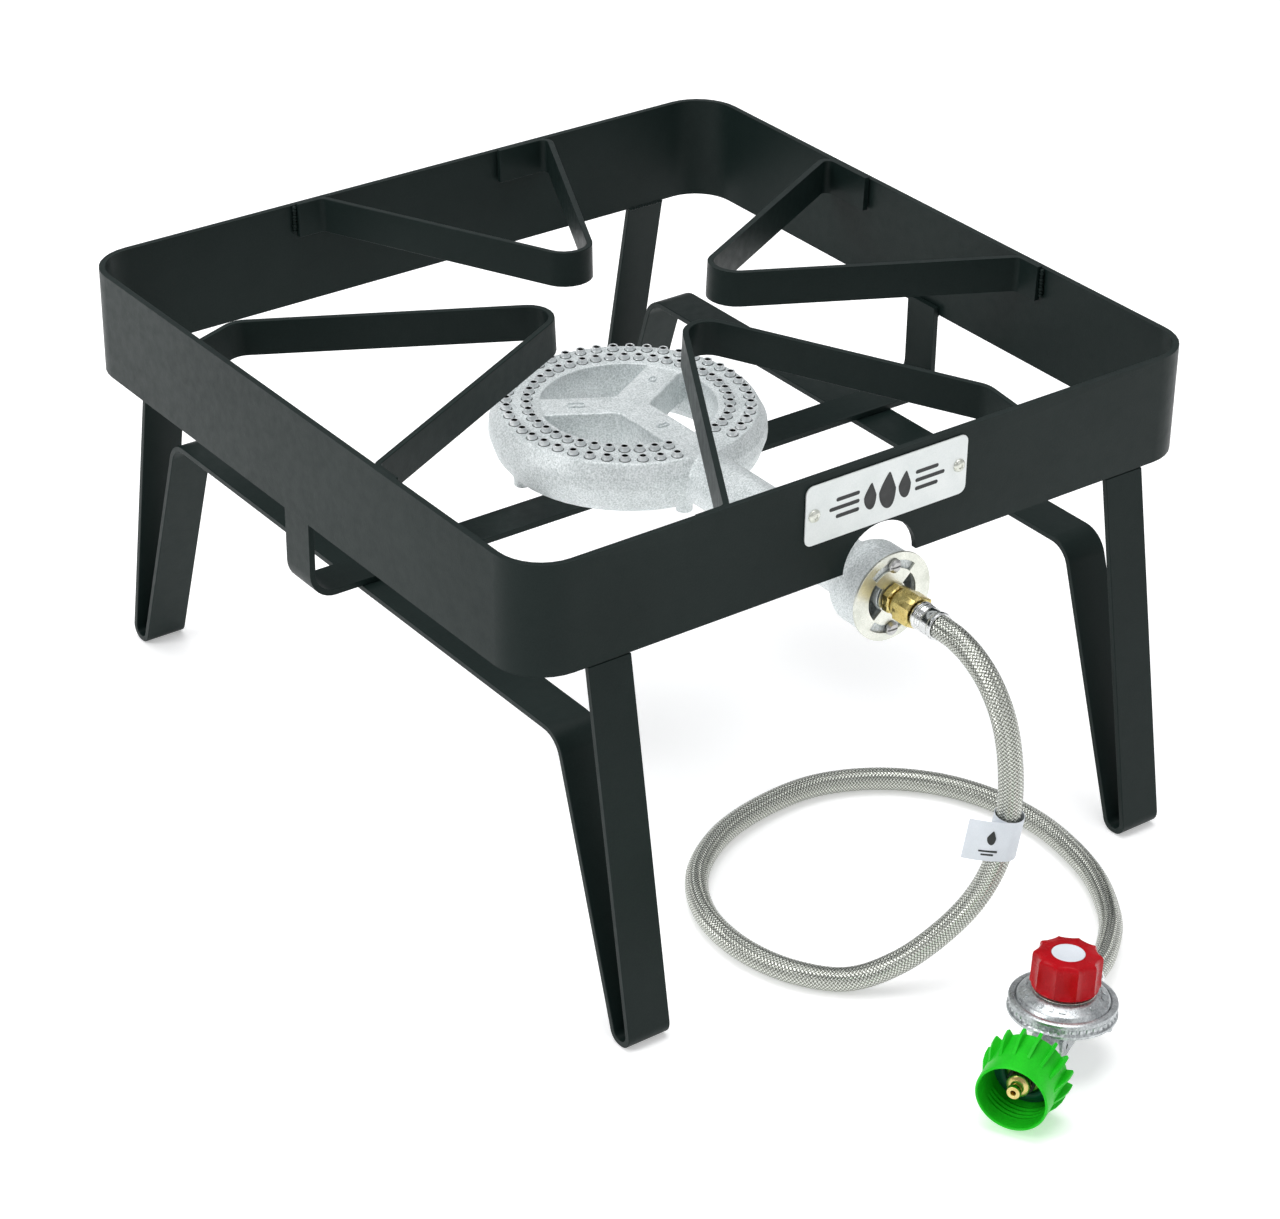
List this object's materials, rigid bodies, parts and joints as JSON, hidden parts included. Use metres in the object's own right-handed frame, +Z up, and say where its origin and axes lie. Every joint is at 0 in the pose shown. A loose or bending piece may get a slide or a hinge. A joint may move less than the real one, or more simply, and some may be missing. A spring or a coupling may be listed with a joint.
{
  "type": "propane burner stand",
  "caption": "Low square steel stand with strap feet and hairpin pot supports, a cast ring burner on a cross bar, and a braided gas hose with an adjustable regulator.",
  "frame": {"origin": "on the floor under the middle of the square frame", "axes": "+Z up, gas comes in at the front (-Y), +X to the right; the strap feet run along Y"},
  "size_m": [0.4064, 0.6398, 0.2603],
  "materials": {
    "black_steel": "black powder coat",
    "cast_aluminium": "rough cast",
    "zinc_plate": "zinc plated",
    "brass": "turned",
    "chrome": "polished",
    "steel": "plain",
    "braid": "woven wire",
    "red_plastic": "moulded",
    "green_plastic": "moulded",
    "dark_plastic": "moulded",
    "rubber": "matt",
    "plate_metal": "satin",
    "paper": "plain"
  },
  "bodies": {
    "base": {"band_frame": "black_steel", "leg_strap_left": "black_steel", "leg_strap_right": "black_steel", "cross_bar": "black_steel", "pot_support_front": "black_steel", "pot_support_right": "black_steel", "pot_support_back": "black_steel", "pot_support_left": "black_steel", "name_plate": "plate_metal", "plate_rivet_left": "zinc_plate", "plate_rivet_right": "zinc_plate", "burner_casting": "cast_aluminium", "mount_washer": "zinc_plate", "mount_bolt": "zinc_plate", "shutter_screw_top": "steel", "shutter_screw_bottom": "steel", "orifice_spud": "brass", "flare_nut": "brass", "hose_stem": "brass", "hose_ferrule": "chrome", "regulator_body": "cast_aluminium", "valve_seat": "brass", "lever_pin": "steel", "diaphragm": "rubber", "bonnet": "cast_aluminium", "bonnet_neck": "cast_aluminium", "crimp_ring": "zinc_plate", "pressure_spring": "steel", "inlet_nipple": "brass", "nipple_seal": "rubber", "outlet_fitting": "brass", "outlet_ferrule": "chrome", "braided_hose": "braid", "hose_tag": "paper"},
    "knob": {"adjusting_knob": "red_plastic", "knob_disc": "paper"},
    "button": {"spring_button": "zinc_plate"},
    "plate": {"diaphragm_plate": "zinc_plate"},
    "lever": {"valve_lever": "steel"},
    "nut": {"cylinder_nut": "green_plastic", "nut_bushing": "dark_plastic"},
    "shutter": {"air_shutter": "zinc_plate"}
  },
  "joints": [
    {"name": "shutter_turn", "type": "hinge", "parent": "base", "child": "shutter", "pos_m": [0, -0.2131, 0.1813], "axis": [0, 1, 0], "range_deg": [-34, 34]},
    {"name": "button_travel", "type": "slide", "parent": "base", "child": "button", "axis": [-0.0686, -0.038, -0.9969], "range_m": [0, 0.00156], "deforming": ["pressure_spring"]},
    {"name": "knob_turn", "type": "hinge", "parent": "button", "child": "knob", "pos_m": [-0.00117, -0.3523, 0.04505], "axis": [-0.0686, -0.038, -0.9969], "range_deg": [0, 450]},
    {"name": "plate_travel", "type": "slide", "parent": "base", "child": "plate", "axis": [-0.0686, -0.038, -0.9969], "range_m": [0, 0.0008], "stiffness_N_per_m": 2000},
    {"name": "lever_tilt", "type": "hinge", "parent": "base", "child": "lever", "pos_m": [-0.01383, -0.35931, 0.01409], "axis": [-0.4848, 0.8746, 0], "range_deg": [0, 3.83]},
    {"name": "nut_spin", "type": "hinge", "parent": "base", "child": "nut", "pos_m": [-0.04667, -0.37752, 0.02125], "axis": [0.8746, 0.4848, 0.0087], "continuous": true}
  ],
  "couplings": [
    {"joint": "knob_turn", "follows": "button_travel", "rad_per_m": 5026.5},
    {"joint": "lever_tilt", "follows": "plate_travel", "rad_per_m": 83.333}
  ]
}
